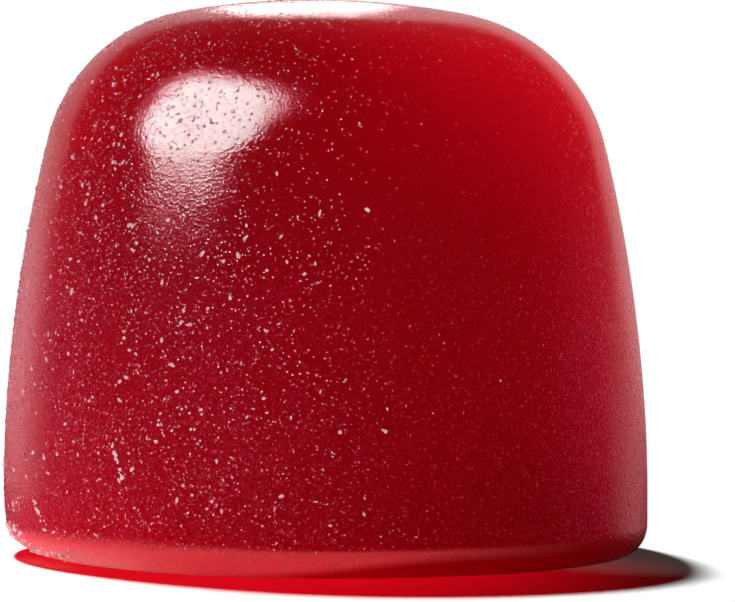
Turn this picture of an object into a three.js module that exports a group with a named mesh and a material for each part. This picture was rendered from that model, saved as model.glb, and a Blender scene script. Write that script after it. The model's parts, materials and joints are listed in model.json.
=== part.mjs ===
// A raspberry gummy: one solid piece of moulded jelly in the shape of a gumdrop.
// It has a flat base with a rounded foot, a wall that bulges and narrows upwards, a round shoulder and a
// nearly flat crown. Millimetres, +Z up, origin at the middle of the base, -Y is the front.

import * as THREE from "three";

// Driving dimensions
const baseDiameter = 18; // across the widest ring
const height = 15.5; // base to the middle of the crown
const widestHeight = 1.5; // where the wall stands upright
const wallRadius = 42; // arc of the bulging wall
const shoulderRadius = 4.8; // arc between wall and crown
const crownRadius = 22; // arc of the nearly flat top
const footInset = 0.8; // how far the round of the foot goes in
const footHeight = 0.8; // and how far it goes up

// What is uneven on this sweet: angles are measured about +Z, from +X
const footWear = 0.9; // the foot is pressed rounder at the front left
const footWearHeight = 1.3;
const footWearSide = 1.18 * Math.PI;
const footWearFocus = 6; // the larger, the shorter the pressed stretch
const crownSlope = 0.012; // the crown falls this much for each millimetre to the right
const ovalShare = 0.0025; // out of round, as shares of the radius
const ovalSide = 0.6;
const trefoilShare = 0.002;
const trefoilSide = 2.1;

// How finely the curves are cut into flat faces
const turnSteps = 84;
const footSteps = 7;
const wallSteps = 12;
const shoulderSteps = 14;
const crownSteps = 7;

// The arcs of the profile, as x across and y up. The shoulder touches the wall's arc and the crown's arc
// from inside, so its centre is as far from each of their centres as the two radii differ.
const baseRadius = baseDiameter / 2;
const footRadius = baseRadius - footInset;
const wallCentre = new THREE.Vector2(baseRadius - wallRadius, widestHeight);
const crownCentre = new THREE.Vector2(0, height - crownRadius);
const shoulderCentre = circlesMeet(
  wallCentre,
  wallRadius - shoulderRadius,
  crownCentre,
  crownRadius - shoulderRadius,
);

// The upper of the two points that lie at the given distances from two centres.
function circlesMeet(first, firstDistance, second, secondDistance) {
  const along = second.clone().sub(first);
  const gap = along.length();
  along.normalize();
  const forward = (firstDistance ** 2 - secondDistance ** 2 + gap ** 2) / (2 * gap);
  const aside = Math.sqrt(firstDistance ** 2 - forward ** 2);
  const upwards = new THREE.Vector2(-along.y, along.x);
  return first.clone().addScaledVector(along, forward).addScaledVector(upwards, aside);
}

// Points along an arc, which is elliptical where it goes across and up by different amounts.
function arcPoints(centre, across, up, from, to, steps) {
  return new THREE.EllipseCurve(centre.x, centre.y, across, up, from, to).getPoints(steps);
}

// Half of the upright section, from the middle of the base round to the middle of the crown.
function profilePoints() {
  const wallEnd = shoulderCentre.clone().sub(wallCentre).angle();
  const crownStart = shoulderCentre.clone().sub(crownCentre).angle();
  const wallStart = Math.asin((footHeight - widestHeight) / wallRadius);
  const footCentre = new THREE.Vector2(footRadius, footHeight);
  const foot = arcPoints(footCentre, footInset, footHeight, -Math.PI / 2, 0, footSteps);
  const wall = arcPoints(wallCentre, wallRadius, wallRadius, wallStart, wallEnd, wallSteps);
  const shoulder = arcPoints(
    shoulderCentre,
    shoulderRadius,
    shoulderRadius,
    wallEnd,
    crownStart,
    shoulderSteps,
  );
  const crown = arcPoints(
    crownCentre,
    crownRadius,
    crownRadius,
    crownStart,
    Math.PI / 2,
    crownSteps,
  );
  const top = new THREE.Vector2(0, height);
  return [
    new THREE.Vector2(0, 0),
    ...foot,
    ...wall.slice(1),
    ...shoulder.slice(1),
    ...crown.slice(1, -1),
    top,
  ];
}

// Moves the turned surface out of true: a rounder foot on one side, a sloping crown and an uneven girth.
function unevenGummy(geometry) {
  const position = geometry.getAttribute("position");
  const point = new THREE.Vector3();
  for (let i = 0; i < position.count; i += 1) {
    point.fromBufferAttribute(position, i);
    const side = Math.atan2(point.y, point.x);
    const facesWear = (1 + Math.cos(side - footWearSide)) / 2;
    const nearFloor = Math.max(0, 1 - point.z / footWearHeight);
    const worn = footWear * facesWear ** footWearFocus * nearFloor ** 2;
    const oval = ovalShare * Math.cos(2 * (side - ovalSide));
    const trefoil = trefoilShare * Math.cos(3 * (side - trefoilSide));
    const girth = 1 + oval + trefoil - worn / baseRadius;
    const crownShare = THREE.MathUtils.smoothstep(point.z, shoulderCentre.y, height);
    const fall = crownSlope * point.x * crownShare;
    position.setXYZ(i, point.x * girth, point.y * girth, point.z - fall);
  }
  geometry.computeVertexNormals();
  return geometry;
}

function makeGummy() {
  const turned = new THREE.LatheGeometry(profilePoints(), turnSteps);
  turned.rotateX(Math.PI / 2); // the lathe's axis becomes +Z
  const jelly = new THREE.MeshStandardMaterial({ color: 0x8c0a18, roughness: 0.4, metalness: 0 });
  const gummy = new THREE.Mesh(unevenGummy(turned), jelly);
  gummy.name = "gummy";
  return gummy;
}

const part = new THREE.Group();
part.add(makeGummy());

export default part;
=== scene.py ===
import json
import math
import bmesh
import bpy
import numpy as np
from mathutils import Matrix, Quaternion, Vector, noise
from mathutils.bvhtree import BVHTree

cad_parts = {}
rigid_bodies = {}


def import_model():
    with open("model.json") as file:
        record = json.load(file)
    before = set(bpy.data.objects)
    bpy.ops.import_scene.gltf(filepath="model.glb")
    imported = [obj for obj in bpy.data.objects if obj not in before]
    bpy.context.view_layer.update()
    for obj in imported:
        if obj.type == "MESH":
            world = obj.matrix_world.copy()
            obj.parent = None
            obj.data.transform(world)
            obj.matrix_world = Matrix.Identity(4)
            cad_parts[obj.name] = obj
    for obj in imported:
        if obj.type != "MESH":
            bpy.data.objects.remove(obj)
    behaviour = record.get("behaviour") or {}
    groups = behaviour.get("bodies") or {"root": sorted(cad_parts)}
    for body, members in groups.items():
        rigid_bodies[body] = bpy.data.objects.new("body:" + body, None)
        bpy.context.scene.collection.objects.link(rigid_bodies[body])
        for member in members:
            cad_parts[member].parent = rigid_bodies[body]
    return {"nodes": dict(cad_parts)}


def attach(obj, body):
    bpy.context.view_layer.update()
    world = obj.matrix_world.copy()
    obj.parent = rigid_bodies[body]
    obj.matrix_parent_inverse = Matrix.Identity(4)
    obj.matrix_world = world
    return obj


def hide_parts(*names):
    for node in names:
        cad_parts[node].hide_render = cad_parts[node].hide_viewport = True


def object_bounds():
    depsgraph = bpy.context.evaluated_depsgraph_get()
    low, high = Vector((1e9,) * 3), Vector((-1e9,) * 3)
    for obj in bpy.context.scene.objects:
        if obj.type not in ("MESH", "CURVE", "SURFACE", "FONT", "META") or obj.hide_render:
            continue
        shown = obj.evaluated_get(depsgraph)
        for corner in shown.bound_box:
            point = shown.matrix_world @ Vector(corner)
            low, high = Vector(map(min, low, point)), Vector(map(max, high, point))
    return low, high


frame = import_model()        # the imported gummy: one node, "gummy", on the body "root"
cadLow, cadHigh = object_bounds()
mm = 0.001
halfWidth = (cadHigh.x - cadLow.x) / 2
tall = cadHigh.z - cadLow.z
print("frame loaded, box in mm:", [round(side / mm, 2) for side in cadHigh - cadLow])


# Small helpers for working as by hand

def deselectAll():
    if bpy.context.mode != "OBJECT":
        bpy.ops.object.mode_set(mode="OBJECT")
    bpy.ops.object.select_all(action="DESELECT")


def makeActive(piece):
    deselectAll()
    piece.select_set(True)
    bpy.context.view_layer.objects.active = piece


def pick(piece, mode, wanted):  # leaves the piece in edit mode with the wanted corners or edges selected
    makeActive(piece)
    bpy.ops.object.mode_set(mode="EDIT")
    bpy.ops.mesh.select_mode(type=mode)
    bpy.ops.mesh.select_all(action="DESELECT")
    cage = bmesh.from_edit_mesh(piece.data)
    for part in cage.verts if mode == "VERT" else cage.edges:
        if wanted(part):
            part.select_set(True)
    cage.select_flush_mode()
    bmesh.update_edit_mesh(piece.data)


def groupVertices(piece, name, wanted, softening=0):  # a vertex group, with its border softened where asked
    pick(piece, "VERT", lambda vertex: wanted(vertex.co))
    piece.vertex_groups.new(name=name)
    bpy.ops.object.vertex_group_assign()
    if softening:
        bpy.ops.object.vertex_group_smooth(factor=0.5, repeat=softening)
    bpy.ops.object.mode_set(mode="OBJECT")


def addModifier(piece, kind, **settings):
    modifier = piece.modifiers.new(kind.lower(), kind)
    for name, value in settings.items():
        setattr(modifier, name, value)
    makeActive(piece)
    bpy.ops.object.modifier_apply(modifier=modifier.name)


# Shader maths: a wire holds one output socket, and expressions on wires add Math nodes

class Wire:
    def __init__(self, bench, socket):
        self.bench = bench
        self.socket = socket

    def maths(self, operation, first, second):
        return self.bench.node("ShaderNodeMath", {"operation": operation}, {0: first, 1: second})

    def __add__(self, other):
        return self.maths("ADD", self, other)

    def __radd__(self, other):
        return self.maths("ADD", other, self)

    def __sub__(self, other):
        return self.maths("SUBTRACT", self, other)

    def __rsub__(self, other):
        return self.maths("SUBTRACT", other, self)

    def __mul__(self, other):
        return self.maths("MULTIPLY", self, other)

    def __rmul__(self, other):
        return self.maths("MULTIPLY", other, self)

    def __truediv__(self, other):
        return self.maths("DIVIDE", self, other)

    def __pow__(self, other):
        return self.maths("POWER", self, other)


class Bench:  # the node tree that a material, a lamp or the world is wired on
    def __init__(self, owner):
        owner.use_nodes = True
        self.tree = owner.node_tree
        self.tree.nodes.clear()

    def node(self, kind, settings=None, sockets=None, output=0):
        made = self.tree.nodes.new(kind)
        for name, value in (settings or {}).items():
            setattr(made, name, value)
        for name, value in (sockets or {}).items():
            if isinstance(value, Wire):
                self.tree.links.new(value.socket, made.inputs[name])
            else:
                made.inputs[name].default_value = value
        return Wire(self, made.outputs[output]) if len(made.outputs) else made

    def smoothStep(self, value, start, end):
        sockets = {"Value": value, "From Min": start, "From Max": end}
        return self.node("ShaderNodeMapRange", {"interpolation_type": "SMOOTHSTEP"}, sockets)

    def mixColours(self, share, first, second):
        settings = {"data_type": "RGBA", "clamp_factor": True}
        return self.node("ShaderNodeMix", settings, {"Factor": share, 6: first, 7: second}, output=2)

    def millimetres(self):  # Object coordinates, in millimetres
        place = self.node("ShaderNodeTexCoord", output="Object")
        return self.node("ShaderNodeVectorMath", {"operation": "SCALE"}, {"Vector": place, "Scale": 1 / mm})

    def along(self, place, axis):
        return self.node("ShaderNodeSeparateXYZ", None, {"Vector": place}, output=axis)

    def grain(self, place, perMm, detail, roughness=0.5):
        sockets = {"Vector": place, "Scale": perMm, "Detail": detail, "Roughness": roughness}
        return self.node("ShaderNodeTexNoise", None, sockets)

    def marks(self, place, span, **grain):  # a grain that shows only over a span of its values
        return self.smoothStep(self.grain(place, **grain), *span)

    def cells(self, place, perMm):  # distance to the nearest of many scattered points
        sockets = {"Vector": place, "Scale": perMm, "Randomness": 1.0}
        return self.node("ShaderNodeTexVoronoi", {"feature": "F1"}, sockets)

    def bump(self, height, depth, below=None):
        sockets = {"Height": height, "Distance": depth, "Strength": 1.0}
        if below is not None:
            sockets["Normal"] = below
        return self.node("ShaderNodeBump", None, sockets)

    def finish(self, surface, kind="ShaderNodeOutputMaterial"):
        self.node(kind, None, {"Surface": surface})


def partly(value, share):  # keeps 1 where the value is 1, and takes the share away where it is 0
    return value * share + (1 - share)


# The gummy's body: a fine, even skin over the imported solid's form

bodyCut = {
    "around": 480,          # faces round the girth
    "rings": 128,           # rows of faces up the wall
    "targetLevels": 2,      # smoothing of the solid that the skin is wrapped on
    "relaxPasses": 6,
    "mergeWithin": 0.001 * mm,
    "levelWithin": 0.01 * mm,
}
bodyRelief = {
    "skinFrom": 0.25 * mm,  # the underside stays flat up to here
    "skinSoftening": 4,
    "footTop": 0.74 * mm,   # the skin of the wall ends here, in a fine step over the smooth foot
    "footStep": 0.012 * mm,
    "footFrom": -2.0 * mm,  # to the left of this the step is worn away
    "waves": {"size": 2.2 * mm, "height": 0.016 * mm},   # slow unevenness of the moulded wall
    "peel": {"size": 0.34 * mm, "height": 0.004 * mm},   # orange peel
}


def wrapTarget():
    makeActive(frame["nodes"]["gummy"])
    bpy.ops.object.duplicate()
    target = bpy.context.object
    bpy.ops.object.mode_set(mode="EDIT")
    bpy.ops.mesh.select_all(action="SELECT")
    bpy.ops.mesh.remove_doubles(threshold=bodyCut["mergeWithin"])
    bpy.ops.mesh.tris_convert_to_quads()
    bpy.ops.object.mode_set(mode="OBJECT")
    levels = bodyCut["targetLevels"]
    addModifier(target, "SUBSURF", levels=levels, render_levels=levels)
    return target


def wrapOn(piece, target):
    addModifier(piece, "SHRINKWRAP", target=target, wrap_method="NEAREST_SURFACEPOINT")


def reliefTexture(name, size):
    texture = bpy.data.textures.new(name, "CLOUDS")
    texture.noise_scale = size
    texture.noise_depth = 2
    return texture


def isUpright(edge):
    return abs(edge.verts[0].co.z - edge.verts[1].co.z) > tall / 2


def isOnSkin(place):
    return place.z > bodyRelief["skinFrom"]


def isOnFoot(place):
    return isOnSkin(place) and place.z < bodyRelief["footTop"] and place.x > bodyRelief["footFrom"]


def makeBody():
    target = wrapTarget()
    deselectAll()
    bpy.ops.mesh.primitive_cylinder_add(vertices=bodyCut["around"], radius=halfWidth, depth=tall,
                                        end_fill_type="NOTHING", location=(0, 0, cadLow.z + tall / 2))
    body = bpy.context.object
    body.name = "gummyBody"
    bpy.ops.object.transform_apply(location=True, rotation=False, scale=False)
    pick(body, "EDGE", isUpright)
    bpy.ops.mesh.subdivide(number_cuts=bodyCut["rings"] - 1)
    for level in (cadLow.z, cadHigh.z):  # both ends are closed with an even grid, so that no pole pinches
        pick(body, "EDGE", lambda edge: all(abs(v.co.z - level) < bodyCut["levelWithin"] for v in edge.verts))
        bpy.ops.mesh.fill_grid(span=bodyCut["around"] // 4)
    bpy.ops.mesh.select_all(action="SELECT")
    bpy.ops.mesh.normals_make_consistent(inside=False)
    bpy.ops.object.mode_set(mode="OBJECT")
    wrapOn(body, target)
    bpy.ops.object.mode_set(mode="EDIT")
    bpy.ops.mesh.select_all(action="SELECT")
    bpy.ops.mesh.vertices_smooth(factor=0.5, repeat=bodyCut["relaxPasses"])
    bpy.ops.object.mode_set(mode="OBJECT")
    wrapOn(body, target)
    bpy.data.objects.remove(target)
    groupVertices(body, "skin", isOnSkin, bodyRelief["skinSoftening"])
    groupVertices(body, "foot", isOnFoot)
    for name in ("waves", "peel"):
        relief = bodyRelief[name]
        addModifier(body, "DISPLACE", texture=reliefTexture(name, relief["size"]), texture_coords="LOCAL",
                    vertex_group="skin", strength=relief["height"], mid_level=0.5)
    addModifier(body, "DISPLACE", vertex_group="foot", strength=-bodyRelief["footStep"], mid_level=0)
    makeActive(body)
    bpy.ops.object.shade_smooth()
    return body


# How the powder lies: thick on the left and low down, thin on the upper right, in clumps and patches

dusting = {
    "lean": 0.35, "none": -0.15, "full": 0.75,
    "clumpSize": 0.9 * mm, "patchSize": 3.5 * mm,
    "usual": 0.65, "clumped": 0.6, "patched": 0.5, "fewest": 0.08,
    "aboveFoot": 0.1 * mm,
}


# The jelly: deep ruby, clouded inside, with a satin skin that is finely pitted and lightly filmed with
# powder; shade and light are painted into its middle, its pits, its outline and its foot

jelly = {
    "look": {
        "deep": (0.30, 0.0006, 0.0042, 1),
        "bright": (0.40, 0.0010, 0.0058, 1),
        "gritAndGlints": (0.52, 0.0060, 0.0240, 1),    # fine grain of the bare skin, in lighter flecks that also stand in for painted glints off its bumps
        "dots": (0.64, 0.026, 0.062, 1),      # single grains too fine to be modelled
        "film": (0.50, 0.034, 0.088, 1),      # the finest powder, which the jelly shines through; thicker at the left and right outline, where it also stands in for painted sheen
        "pitShade": (0.17, 0.0006, 0.0030, 1),  # painted shade in the larger pits
        "foot": (0.72, 0.11, 0.145, 1),       # pale frosted foot with painted light on it, more so to the left
        "footLeft": (0.88, 0.40, 0.42, 1),
        "reach": (3.5, 0.10, 0.16),           # how far red, green and blue light get, in mm
        "satin": 0.06,
        "satinUneven": 0.04,
        "pitMatte": 0.08,
        "footMatte": 0.4,
        "index": 1.45,
        "frost": 0.05,                        # soft sheen of the powdered skin at grazing angles
        "frostRough": 0.30,
        "frostTint": (1.0, 0.80, 0.83, 1),
    },
    "grains": {
        "cloud": {"perMm": 0.22, "detail": 3, "span": (0.35, 0.70)},
        "patch": {"perMm": 0.5, "detail": 3, "span": (0.25, 0.60)},
        "fleck": {"perMm": 13.0, "detail": 2, "roughness": 0.6, "span": (0.42, 0.62)},
        "dots": {"perMm": 11.0, "detail": 1, "span": (0.63, 0.73)},
        "footEdge": {"perMm": 8.0, "detail": 2},
        "satin": {"perMm": 2.5, "detail": 2},
        "peel": {"perMm": 3.6, "detail": 1},
        "ripple": {"perMm": 10.0, "detail": 1.5},
    },
    "cells": {"holes": 2.8, "pits": 5.0, "dimples": 12.0},   # for each mm
    "spans": {  # where each thing begins and where it is full; in mm across, to the front and back, or up
        "footLeft": (0.0, -6.0),
        "paintedShadeAcross": (-3.0, 3.0),
        "paintedShadeUp": (12.5, 8.5),
        "dotsDown": (0.15, 0.70),        # as a share of the height, from the crown down
        "lower": (12.5, 6.0),
        "leftSide": (-5.5, -8.6),
        "rightSide": (5.5, 8.8),
        "edge": (5.5, 1.5),
        "streakRise": (-4.0, 4.0),
        "streakUp": (0.0, 0.35),
        "streakEnd": (1.0, 8.5),
        "paleAcross": (-2.5, -7.5),
        "paleUp": (0.8, 0.1),
        "footMatte": (6.0, 1.0),
        "holes": (0.10, 0.17),           # as distances among the cells
        "pits": (0.02, 0.23),
    },
    "shares": {
        "cloud": 0.4, "paintedShade": 0.85, "gritAndGlints": 0.6,
        "film": 0.14, "filmLow": 0.22, "filmAndSheenLeft": 0.75, "filmAndSheenRight": 0.55,
        "filmPatch": 0.4, "filmFleck": 0.9,
        "footFleck": 0.25, "rippleAtEdge": 12,
    },
    "foot": {  # where the wall ends above the foot, in mm
        "ragged": 0.4, "sunk": 0.25,     # grainy where it is worn, at the left
        "fade": 0.15, "fadeLeft": 0.30,
        "streakRise": 0.6, "streakLow": 0.2,   # the pale streak below narrows to the right
    },
    "depths": {"peel": 0.002 * mm, "ripple": 0.0015 * mm, "dimples": 0.0030 * mm, "pits": 0.018 * mm},
}


def makeJelly():
    material = bpy.data.materials.new("rubyJelly")
    bench = Bench(material)
    place = bench.millimetres()
    across, depth, height = (bench.along(place, axis) for axis in "XYZ")
    low = 1 - height * (mm / tall)
    look, share, foot, depths = (jelly[part] for part in ("look", "shares", "foot", "depths"))

    def over(value, name):
        return bench.smoothStep(value, *jelly["spans"][name])

    def grain(name):
        return bench.grain(place, **jelly["grains"][name])

    def marks(name):
        return bench.marks(place, **jelly["grains"][name])

    def cells(name):
        return bench.cells(place, jelly["cells"][name])

    leftward = over(across, "footLeft")
    ragged = leftward * (grain("footEdge") * foot["ragged"] - foot["sunk"])
    footEdge = ragged + bodyRelief["footTop"] / mm
    onWall = bench.smoothStep(height - footEdge, 0.0, leftward * foot["fadeLeft"] + foot["fade"])
    onFoot = 1 - onWall
    lower = over(height, "lower")
    edgeFrom, edgeFull = jelly["spans"]["edge"]
    edge = bench.smoothStep(depth * depth, edgeFrom ** 2, edgeFull ** 2)   # the outline, seen from the front
    fleck = marks("fleck")

    # painted shade: the ruby is darker in the middle and to the right below the crown
    paintedShade = over(across, "paintedShadeAcross") * over(height, "paintedShadeUp")   # least light gets in here
    bright = partly(marks("cloud"), share["cloud"]) * (1 - paintedShade * share["paintedShade"])
    ruby = bench.mixColours(bright, look["deep"], look["bright"])
    # the skin's fine grain, lighter and stronger low down, is painted in and also stands for glints off its
    # bumps
    withGritAndGlints = bench.mixColours(fleck * low * share["gritAndGlints"] * onWall, ruby, look["gritAndGlints"])
    dotted = bench.mixColours(marks("dots") * over(low, "dotsDown") * onWall, withGritAndGlints, look["dots"])

    # painted light on the frosted foot: a pale lit streak that narrows to the right, and a paler lower left
    streakFrom = over(across, "streakRise") * foot["streakRise"] - foot["streakLow"]
    frostAndLitStreak = over(height - streakFrom, "streakUp") * (1 - over(across, "streakEnd")) * onFoot
    lowLeft = over(across, "paleAcross") * over(height, "paleUp")
    pale = bench.mixColours(lowLeft, look["foot"], look["footLeft"])
    clean = bench.mixColours(frostAndLitStreak * partly(fleck, share["footFleck"]), dotted, pale)

    leaning = low * dusting["lean"] - across * (mm / halfWidth)
    dusted = bench.smoothStep(leaning, dusting["none"], dusting["full"])
    # the film is thicker towards the left and right outline, where it also stands in for painted sheen along
    # the rims
    rimFilmAndSheen = over(across, "leftSide") * share["filmAndSheenLeft"] + over(across, "rightSide") * share["filmAndSheenRight"]
    thick = dusted * (lower * share["filmLow"] + share["film"]) + rimFilmAndSheen * lower
    film = thick * partly(marks("patch"), share["filmPatch"]) * partly(fleck, share["filmFleck"]) * onWall
    filmed = bench.mixColours(film, clean, look["film"])

    outsideHoles = over(cells("holes"), "holes")
    # painted shade: the larger pits are darkened, only near the outline seen from the front
    colour = bench.mixColours((1 - outsideHoles) * edge * onWall, filmed, look["pitShade"])
    pits = over(cells("pits"), "pits") * outsideHoles
    matte = (1 - pits) * look["pitMatte"] + onFoot * over(across, "footMatte") * look["footMatte"]
    satin = grain("satin") * look["satinUneven"] + matte + look["satin"]

    peel = bench.bump(grain("peel"), depths["peel"])
    ripple = grain("ripple") * (edge * lower * share["rippleAtEdge"] + 1)
    rippled = bench.bump(ripple, depths["ripple"], peel)
    dimpled = bench.bump(cells("dimples"), depths["dimples"], rippled)
    surface = bench.node("ShaderNodeBsdfPrincipled", {"subsurface_method": "RANDOM_WALK"}, {
        "Base Color": colour,
        "Roughness": satin,
        "IOR": look["index"],
        "Subsurface Weight": 1.0,
        "Subsurface Radius": look["reach"],
        "Subsurface Scale": mm,
        "Sheen Weight": look["frost"],
        "Sheen Roughness": look["frostRough"],
        "Sheen Tint": look["frostTint"],
        "Normal": bench.bump(pits, depths["pits"], dimpled),
    })
    bench.finish(surface)
    return material


# The powder: fine dust, larger specks, splinters, short chains of grains, and the crumbs near the left foot

dust = {  # sizes are half of a grain's width, in mm; the larger the rarity, the fewer the large grains
    "name": "powderDust", "look": "fineDust", "count": 14000, "seed": 11,
    "size": (0.011, 0.027), "rarity": 2, "flat": 0.6, "least": 0.003,
}
specks = {
    "name": "powderSpecks", "look": "whitePowder", "count": 1350, "seed": 23,
    "size": (0.018, 0.056), "rarity": 3, "flat": 0.65, "least": 0.002, "long": 2.2,
}
splinters = {
    "name": "powderSplinters", "look": "whitePowder", "count": 220, "seed": 31,
    "size": (0.014, 0.028), "rarity": 3, "flat": 0.6, "least": 0.004, "long": 3.2,
}
chains = {
    "name": "powderChains", "look": "whitePowder", "count": 130, "seed": 47,
    "size": (0.012, 0.028), "rarity": 3, "flat": 0.7, "least": 0.004,
    "step": 0.07, "links": (4, 9), "loose": 0.02,
}
crumbs = {
    "name": "powderCrumbs", "look": "paleCrumbs", "seed": 59,
    "size": (0.022, 0.075), "rarity": 3, "flat": 0.7, "lowest": 0.08,
    "trails": (  # across and up from, across and up to, loose by, how many; seen from the front, in mm
        (-7.75, 0.28, -7.15, 0.30, 0.16, 26),
        (-8.85, 0.95, -7.90, 0.25, 0.10, 60),
        (-8.05, 1.92, -7.70, 1.00, 0.04, 16),
        (-5.84, 3.60, -5.59, 2.70, 0.04, 14),
        (-4.50, 4.50, -4.42, 3.90, 0.04, 8),
    ),
}
grainForm = {"uneven": (0.6, 1.4), "raised": 0.35, "long": 1.5}
powderLooks = {
    "whitePowder": {"white": (0.98, 0.66, 0.73, 1), "pink": (0.92, 0.34, 0.44, 1)},
    "fineDust": {"white": (0.80, 0.21, 0.30, 1), "pink": (0.60, 0.06, 0.13, 1)},   # half sunk in the skin
    "paleCrumbs": {"white": (1.0, 0.88, 0.90, 1), "pink": (0.95, 0.62, 0.68, 1)},
}
powderFinish = {"tint": {"perMm": 6.0, "detail": 2, "span": (0.40, 0.70)}, "rough": 0.7, "specular": 0.1}

octahedron = (
    np.array([(1, 0, 0), (0, 1, 0), (-1, 0, 0), (0, -1, 0), (0, 0, 1), (0, 0, -1)], float),
    np.array([(0, 1, 4), (1, 2, 4), (2, 3, 4), (3, 0, 4), (1, 0, 5), (2, 1, 5), (3, 2, 5), (0, 3, 5)]),
)


def roundGrain():  # the corners and faces of a 20-sided grain
    deselectAll()
    bpy.ops.mesh.primitive_ico_sphere_add(subdivisions=1, radius=1)
    ball = bpy.context.object
    corners = np.array([tuple(v.co) for v in ball.data.vertices])
    faces = np.array([tuple(p.vertices) for p in ball.data.polygons])
    bpy.data.meshes.remove(ball.data)
    return corners, faces


class Skin:  # the finished body's surface, for strewing powder on it
    def __init__(self, body):
        mesh = body.data
        mesh.calc_loop_triangles()
        corners = np.empty(len(mesh.vertices) * 3)
        mesh.vertices.foreach_get("co", corners)
        self.corners = corners.reshape(-1, 3)
        faces = np.empty(len(mesh.loop_triangles) * 3, int)
        mesh.loop_triangles.foreach_get("vertices", faces)
        self.faces = faces.reshape(-1, 3)
        first, second, third = (self.corners[self.faces[:, i]] for i in range(3))
        across = np.cross(second - first, third - first)
        area = np.linalg.norm(across, axis=1)
        self.normals = across / area[:, None]
        self.share = area / area.sum()
        self.tree = BVHTree.FromPolygons(self.corners.tolist(), self.faces.tolist())

    def strew(self, random, count):
        chosen = random.choice(len(self.faces), count, p=self.share)
        a, b = random.random((2, count, 1))
        turned = a + b > 1
        a, b = np.where(turned, 1 - a, a), np.where(turned, 1 - b, b)
        first, second, third = (self.corners[self.faces[chosen, i]] for i in range(3))
        return first + a * (second - first) + b * (third - first), self.normals[chosen]

    def nearest(self, points):
        found = [self.tree.find_nearest(Vector(point))[:2] for point in points]
        spots = np.array([tuple(spot) for spot, normal in found])
        normals = np.array([tuple(normal) for spot, normal in found])
        return spots, normals

    def fromFront(self, across, up):
        return self.tree.ray_cast(Vector((across, -2 * halfWidth, up)), Vector((0, 1, 0)))[0]


def ramp(value, start, end):
    share = np.clip((value - start) / (end - start), 0, 1)
    return share * share * (3 - 2 * share)


def unevenness(points, size):
    return np.array([noise.noise(Vector(point) / size) for point in points])


def powderDensity(points, least):  # 0 to 1
    x, y, z = points.T
    side = ramp(dusting["lean"] * (1 - z / tall) - x / halfWidth, dusting["none"], dusting["full"])
    clumps = dusting["clumped"] * unevenness(points, dusting["clumpSize"])
    patches = dusting["patched"] * unevenness(points, dusting["patchSize"])
    uneven = np.clip(dusting["usual"] + clumps + patches, dusting["fewest"], 1)
    onWall = z > bodyRelief["footTop"] + dusting["aboveFoot"]
    return (least + (1 - least) * side) * uneven * onWall


def strewnSpots(skin, random, kind):
    count = kind["count"]
    points, normals = [], []
    while sum(map(len, points)) < count:
        tried, facing = skin.strew(random, count)
        kept = random.random(count) < powderDensity(tried, kind["least"])
        points.append(tried[kept])
        normals.append(facing[kept])
    return np.concatenate(points)[:count], np.concatenate(normals)[:count]


def chainSpots(skin, random, kind):
    starts, normals = strewnSpots(skin, random, kind)
    spots = []
    for start, normal in zip(starts, normals):
        heading = np.cross(normal, random.normal(size=3))
        heading /= np.linalg.norm(heading)
        links = np.arange(random.integers(*kind["links"]))[:, None] * kind["step"] * mm
        spots.append(start + heading * links + random.normal(scale=kind["loose"] * mm, size=(len(links), 3)))
    return skin.nearest(np.concatenate(spots))


def trailSpots(skin, random, kind):
    spots = []
    for fromAcross, fromUp, toAcross, toUp, loose, count in kind["trails"]:
        share = random.random(count)
        aside = random.normal(scale=loose, size=(2, count))
        across = fromAcross + (toAcross - fromAcross) * share + aside[0]
        up = np.maximum(fromUp + (toUp - fromUp) * share + aside[1], kind["lowest"])
        spots += [skin.fromFront(x * mm, z * mm) for x, z in zip(across, up)]
    return skin.nearest([spot for spot in spots if spot is not None])


def layGrains(kind, shape, points, normals, random):
    corners, faces = shape
    count = len(points)
    small, large = kind["size"]
    sizes = (small + (large - small) * random.random(count) ** kind["rarity"]) * mm
    along = np.cross(normals, random.normal(size=(count, 3)))
    along /= np.linalg.norm(along, axis=1)[:, None]
    across = np.cross(normals, along)
    uneven = random.uniform(*grainForm["uneven"], (count, len(corners), 1))
    local = corners[None] * uneven * sizes[:, None, None]
    local[:, :, 0] *= random.uniform(1.0, kind.get("long", grainForm["long"]), count)[:, None]
    local[:, :, 2] *= kind["flat"]
    centre = points + normals * (grainForm["raised"] * kind["flat"] * sizes)[:, None]
    placed = (centre[:, None] + local[:, :, :1] * along[:, None] + local[:, :, 1:2] * across[:, None]
              + local[:, :, 2:] * normals[:, None])
    mesh = bpy.data.meshes.new(kind["name"])
    allFaces = (faces[None] + np.arange(count)[:, None, None] * len(corners)).reshape(-1, 3)
    mesh.from_pydata(placed.reshape(-1, 3).tolist(), [], allFaces.tolist())
    mesh.validate()
    piece = bpy.data.objects.new(kind["name"], mesh)
    bpy.context.scene.collection.objects.link(piece)
    return piece


def makePowderLook(name, look):
    material = bpy.data.materials.new(name)
    bench = Bench(material)
    tint = bench.marks(bench.millimetres(), **powderFinish["tint"])
    surface = bench.node("ShaderNodeBsdfPrincipled", None, {
        "Base Color": bench.mixColours(tint, look["white"], look["pink"]),
        "Roughness": powderFinish["rough"],
        "Specular IOR Level": powderFinish["specular"],
    })
    bench.finish(surface)
    return material


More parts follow.
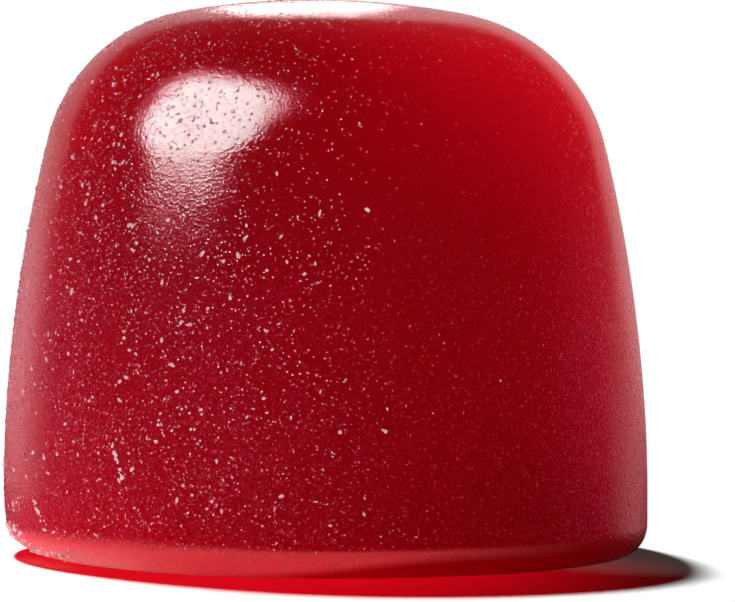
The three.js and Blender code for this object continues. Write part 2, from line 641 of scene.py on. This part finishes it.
def makePowder(body):
    skin = Skin(body)
    ball = roundGrain()
    looks = {name: makePowderLook(name, look) for name, look in powderLooks.items()}
    plans = (
        (dust, octahedron, strewnSpots),
        (specks, ball, strewnSpots),
        (splinters, ball, strewnSpots),
        (chains, octahedron, chainSpots),
        (crumbs, ball, trailSpots),
    )
    pieces = []
    for kind, shape, findSpots in plans:
        random = np.random.default_rng(kind["seed"])
        points, normals = findSpots(skin, random, kind)
        piece = layGrains(kind, shape, points, normals, random)
        piece.data.materials.append(looks[kind["look"]])
        pieces.append(piece)
    return pieces


# The stage: a pale floor, a softbox at the left, bright walls behind, small lamps and a sun for the floor

camera = {
    "elevation": 3.8, "distance": 400 * mm, "aim": (1.187 * mm, 0, 7.1 * mm), "focalPixels": 14328,
    "sensor": 36, "near": 0.01, "far": 10,
}
photoWidth = 735
floorLook = {"half": 2.0, "colour": (0.90, 0.90, 0.90, 1), "rough": 0.7}
worldLight = {"seen": 1.0, "soft": 0.0005}
lights = {  # glow is what lights the jelly and the powder, shine is what the skin mirrors; sizes in mm
    "softbox": {
        "toward": (-0.628, -0.301, 0.7195), "away": 300, "size": (344, 353), "turn": 8.5,
        "glow": 0.68, "shine": 20,
        "soft": {"upper": 0.59, "lower": 0.30, "taper": 0.19, "power": 3.2, "rim": (1, 0.08, 0.20, 1)},
    },
    "wall": {
        "toward": (-0.089, 0.98, 0.185), "away": 330, "size": (655, 206),
        "shine": 0.56, "tint": (1.0, 0.62, 0.64),
        "soft": {"upper": 0.50, "lower": 0.22, "power": 3.2, "rim": (1, 0.12, 0.42, 1)},
    },
    "wallLeft": {
        "toward": (-0.669, 0.743, -0.044), "away": 320, "size": (290, 92),
        "shine": 0.78, "tint": (1.0, 0.64, 0.64),
        "soft": {"upper": 0.9, "lower": 0.9, "power": 2.6},
    },
    "wallRight": {
        "toward": (0.640, 0.765, -0.070), "away": 320, "size": (220, 72),
        "shine": 0.345, "tint": (1.0, 0.70, 0.66),
        "soft": {"upper": 0.5, "lower": 0.5, "power": 4.0},
    },
    "crownShine": {"toward": (-0.009, 0.9707, 0.24), "away": 300, "size": (20, 64), "shine": 3.6},
    "backLeft": {"toward": (-0.66, 0.66, 0.36), "away": 300, "size": (150, 180), "glow": 11.5,
                 "jellyOnly": True},
    "backTop": {"toward": (0.0, 0.55, 0.83), "away": 20, "size": (26, 8), "glow": 2.0, "jellyOnly": True},
    "backRight": {"toward": (0.70, 0.70, 0.09), "away": 300, "size": (150, 150), "glow": 2.3,
                  "jellyOnly": True},
    "rightEdge": {"toward": (0.73, 0.38, 0.54), "away": 31, "size": (10, 10), "glow": 31, "jellyOnly": True},
    "shoulder": {"toward": (-0.60, -0.35, 0.72), "away": 20, "size": (8, 8), "glow": 1.8, "jellyOnly": True},
    "over": {"toward": (0.44, -0.52, 0.73), "away": 22.5, "size": (16, 10), "glow": 3.3},
    "strip": {"toward": (-0.12, -0.91, -0.38), "away": 16, "size": (16, 3), "glow": 0.24},
    "under": {"toward": (0.05, -0.66, -0.74), "away": 20, "size": (50, 8), "glow": 0.60},
    "footLow": {"toward": (-0.55, -0.33, -0.77), "away": 13, "size": (6, 3), "glow": 0.55},
}
lampNear = {"glow": 1.0, "shine": 0.97}   # the shine is nearer, as one lamp hides another in its plane
panelEdge = {"middle": 0.3, "rimFrom": 0.15, "rimTo": 0.85}
sun = {"toward": (-0.24, 0.54, 1.0), "spread": 5.0, "floorGlow": 1.04}
floorSpotAway = 400 * mm
floorSpotRadius = 0.5 * mm
floorSpots = {  # what reaches the floor inside the shadow: red light through the jelly, and a little grey
    "redThrough": {"aim": (-6 * mm, -6 * mm, 0), "reach": 16.4 * mm, "blend": 1.0,
                   "colour": (1, 0.0, 0.009), "power": 0.875},
    "greyAside": {"aim": (10.5 * mm, -1.5 * mm, 0), "reach": 6 * mm, "blend": 0.8,
                  "colour": (0.60, 0.40, 0.38), "power": 0.10},
}


def makeCamera():
    tilt = math.radians(camera["elevation"])
    back = Vector((0, -math.cos(tilt), math.sin(tilt)))
    made = bpy.data.objects.new("camera", bpy.data.cameras.new("camera"))
    made.location = Vector(camera["aim"]) + back * camera["distance"]
    made.rotation_euler = (-back).to_track_quat("-Z", "Y").to_euler()
    made.data.sensor_width = camera["sensor"]
    made.data.lens = camera["focalPixels"] / photoWidth * camera["sensor"]
    made.data.clip_start = camera["near"]
    made.data.clip_end = camera["far"]
    bpy.context.scene.collection.objects.link(made)
    bpy.context.scene.camera = made


def makeFloor():
    deselectAll()
    bpy.ops.mesh.primitive_plane_add(size=2 * floorLook["half"], location=(0, 0, 0))
    floor = bpy.context.object
    floor.name = "floor"
    material = bpy.data.materials.new("paleFloor")
    bench = Bench(material)
    surface = bench.node("ShaderNodeBsdfPrincipled", None, {
        "Base Color": floorLook["colour"],
        "Roughness": floorLook["rough"],
        "Specular IOR Level": 0.0,
    })
    bench.finish(surface)
    floor.data.materials.append(material)
    floor.visible_glossy = False
    return floor


def placeLamp(lamp, toward, away, aim, receivers, turn=0):
    made = bpy.data.objects.new(lamp.name, lamp)
    direction = Vector(toward).normalized()
    made.location = Vector(aim) + direction * away
    roll = Quaternion((0, 0, 1), math.radians(turn))
    made.rotation_euler = (direction.to_track_quat("Z", "Y") @ roll).to_euler()
    made.visible_camera = False
    made.light_linking.receiver_collection = receivers
    bpy.context.scene.collection.objects.link(made)
    return made


# Rounds a panel off and fades it out towards its rim
def softenEdges(lamp, upper, lower, power, taper=0.0, rim=(1, 1, 1, 1)):
    bench = Bench(lamp)
    spot = bench.node("ShaderNodeNewGeometry", output="Parametric")
    up = bench.along(spot, "Y") * 2 - 1
    across = (bench.along(spot, "X") * 2 - 1) / (up * taper + 1)
    outward = ((across * across) ** (power / 2) + (up * up) ** (power / 2)) ** (1 / power)
    fade = bench.smoothStep(up, -panelEdge["middle"], panelEdge["middle"]) * (upper - lower) + lower
    strength = bench.smoothStep((1 - outward) / fade, 0.0, 1.0)
    inside = bench.smoothStep(strength, panelEdge["rimFrom"], panelEdge["rimTo"])
    colour = bench.mixColours(inside, rim, (1, 1, 1, 1))
    surface = bench.node("ShaderNodeEmission", None, {"Color": colour, "Strength": strength})
    bench.finish(surface, "ShaderNodeOutputLight")


def makePanel(name, plan, receivers):
    middle = (cadLow + cadHigh) / 2
    for part, near in lampNear.items():
        if part not in plan:
            continue
        lamp = bpy.data.lights.new(name + part.capitalize(), "AREA")
        lamp.shape = "RECTANGLE"
        lamp.size, lamp.size_y = (side * mm for side in plan["size"])
        lamp.energy = math.pi * lamp.size * lamp.size_y * plan[part]
        lamp.color = plan.get("tint", (1, 1, 1))
        if "soft" in plan:
            softenEdges(lamp, **plan["soft"])
        away = plan["away"] * near * mm
        made = placeLamp(lamp, plan["toward"], away, middle, receivers, plan.get("turn", 0))
        made.light_linking.blocker_collection = receivers
        made.visible_diffuse = part == "glow"
        made.visible_glossy = part == "shine"


def makeSun(receivers):
    lamp = bpy.data.lights.new("sun", "SUN")
    lamp.angle = math.radians(sun["spread"])
    high = Vector(sun["toward"]).normalized().z
    lamp.energy = math.pi * sun["floorGlow"] / floorLook["colour"][0] / high
    placeLamp(lamp, sun["toward"], floorSpotAway, (0, 0, 0), receivers)


def makeFloorSpot(name, plan, receivers):
    lamp = bpy.data.lights.new(name, "SPOT")
    lamp.color = plan["colour"]
    lamp.spot_size = 2 * math.atan(plan["reach"] / floorSpotAway)
    lamp.spot_blend = plan["blend"]
    lamp.shadow_soft_size = floorSpotRadius
    lamp.energy = 4 * math.pi ** 2 * plan["power"] * floorSpotAway ** 2
    made = placeLamp(lamp, sun["toward"], floorSpotAway, plan["aim"], receivers)
    made.light_linking.blocker_collection = receivers


def makeWorld():
    world = bpy.data.worlds.new("studio")
    bpy.context.scene.world = world
    bench = Bench(world)
    seen = bench.node("ShaderNodeLightPath", output="Is Camera Ray")
    soft = bench.node("ShaderNodeLightPath", output="Is Diffuse Ray")
    strength = seen * worldLight["seen"] + soft * worldLight["soft"]
    surface = bench.node("ShaderNodeBackground", None, {"Color": (1, 1, 1, 1), "Strength": strength})
    bench.finish(surface, "ShaderNodeOutputWorld")


def makeCollection(name, pieces):
    made = bpy.data.collections.new(name)
    for piece in pieces:
        made.objects.link(piece)
    return made


# Making and placing it all

body = makeBody()
body.data.materials.append(makeJelly())
body.visible_diffuse = False   # the red that it throws on the floor is the spot's
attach(body, "root")
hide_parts("gummy")
print("body:", len(body.data.polygons), "faces")

powder = makePowder(body)
for piece in powder:
    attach(piece, "root")
    print(piece.name + ":", len(piece.data.polygons), "faces")

makeCamera()
floor = makeFloor()
sweet = makeCollection("sweet", (body, *powder))
jellyOnly = makeCollection("jellyOnly", (body,))   # for lamps that would make the powder glitter
floorOnly = makeCollection("floorOnly", (floor,))
for name, plan in lights.items():
    makePanel(name, plan, jellyOnly if plan.get("jellyOnly") else sweet)
makeSun(floorOnly)
for name, plan in floorSpots.items():
    makeFloorSpot(name, plan, floorOnly)
makeWorld()
bpy.context.scene.view_settings.view_transform = "Standard"
bpy.context.scene.cycles.caustics_reflective = False
print("stage, light and camera set")
